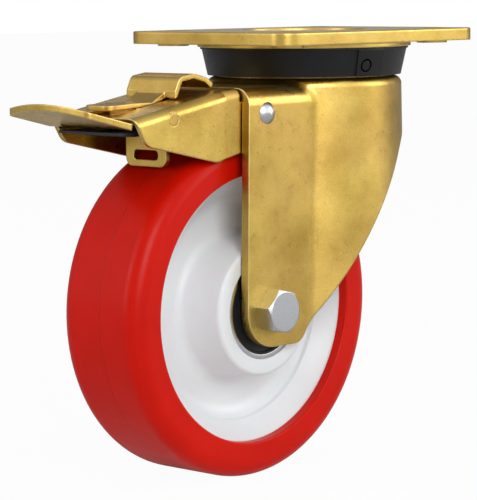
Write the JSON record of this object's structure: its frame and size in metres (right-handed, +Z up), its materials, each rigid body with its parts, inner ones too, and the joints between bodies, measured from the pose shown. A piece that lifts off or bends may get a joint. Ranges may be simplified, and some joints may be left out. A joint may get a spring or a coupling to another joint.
{
  "type": "heavy duty braked castor",
  "caption": "Heavy duty swivel castor with a bolt-on top plate, double ball swivel head, pressed fork, polyurethane wheel on ball bearings and a foot brake that locks wheel and swivel.",
  "frame": {"origin": "where the swivel axis meets the top face of the plate, which is the centre of its bolt pattern", "axes": "+Z up out of the plate, the brake pedal points towards -X, the axle lies along Y with the bolt head at -Y"},
  "size_m": [0.2415, 0.105, 0.209],
  "materials": {
    "yellow_zinc": "satin yellow passivated zinc on pressed steel, mottled",
    "silver_zinc": "bright zinc plated steel",
    "bearing_steel": "ground bearing steel",
    "black_steel": "blackened spring steel",
    "black_plastic": "satin black polyamide",
    "seal_rubber": "matt black rubber",
    "white_nylon": "satin white polyamide",
    "red_polyurethane": "smooth cast red polyurethane"
  },
  "bodies": {
    "mount": {"top_plate": "yellow_zinc", "dust_ring": "black_plastic", "kingpin": "yellow_zinc", "lower_cup": "bearing_steel", "lock_ring": "yellow_zinc", "kingpin_nut": "silver_zinc"},
    "fork": {"fork": "yellow_zinc", "upper_balls": "bearing_steel", "lower_balls": "bearing_steel", "axle_tube": "silver_zinc", "axle_bolt": "silver_zinc", "axle_washer": "silver_zinc", "axle_nut": "silver_zinc", "bearing_inner_rings": "bearing_steel", "brake_housing": "yellow_zinc", "brake_rivet": "silver_zinc", "rivet_spacers": "silver_zinc", "pedal_pin": "yellow_zinc"},
    "wheel": {"wheel_centre": "white_nylon", "tyre": "red_polyurethane", "bearing_outer_rings": "bearing_steel", "bearing_balls": "bearing_steel", "bearing_seals": "seal_rubber"},
    "pedal": {"pedal": "yellow_zinc", "release_tab": "yellow_zinc"},
    "brake_lever": {"brake_lever": "yellow_zinc", "upper_leaf": "black_steel", "lower_leaf": "black_steel", "leaf_rivets": "silver_zinc"}
  },
  "joints": [
    {"name": "swivel", "type": "hinge", "parent": "mount", "child": "fork", "pos_m": [0, 0, 0], "axis": [0, 0, 1], "continuous": true},
    {"name": "wheel_spin", "type": "hinge", "parent": "fork", "child": "wheel", "pos_m": [-0.0608, 0, -0.129], "axis": [0, 1, 0], "continuous": true},
    {"name": "pedal_rock", "type": "hinge", "parent": "fork", "child": "pedal", "pos_m": [-0.118, 0, -0.0377], "axis": [0, -1, 0], "range_deg": [0, 8]},
    {"name": "lever_swing", "type": "hinge", "parent": "fork", "child": "brake_lever", "pos_m": [-0.064, 0, -0.037], "axis": [0, -1, 0], "range_deg": [0, 2]}
  ],
  "couplings": [
    {"joint": "lever_swing", "follows": "pedal_rock", "ratio": 0.25}
  ]
}
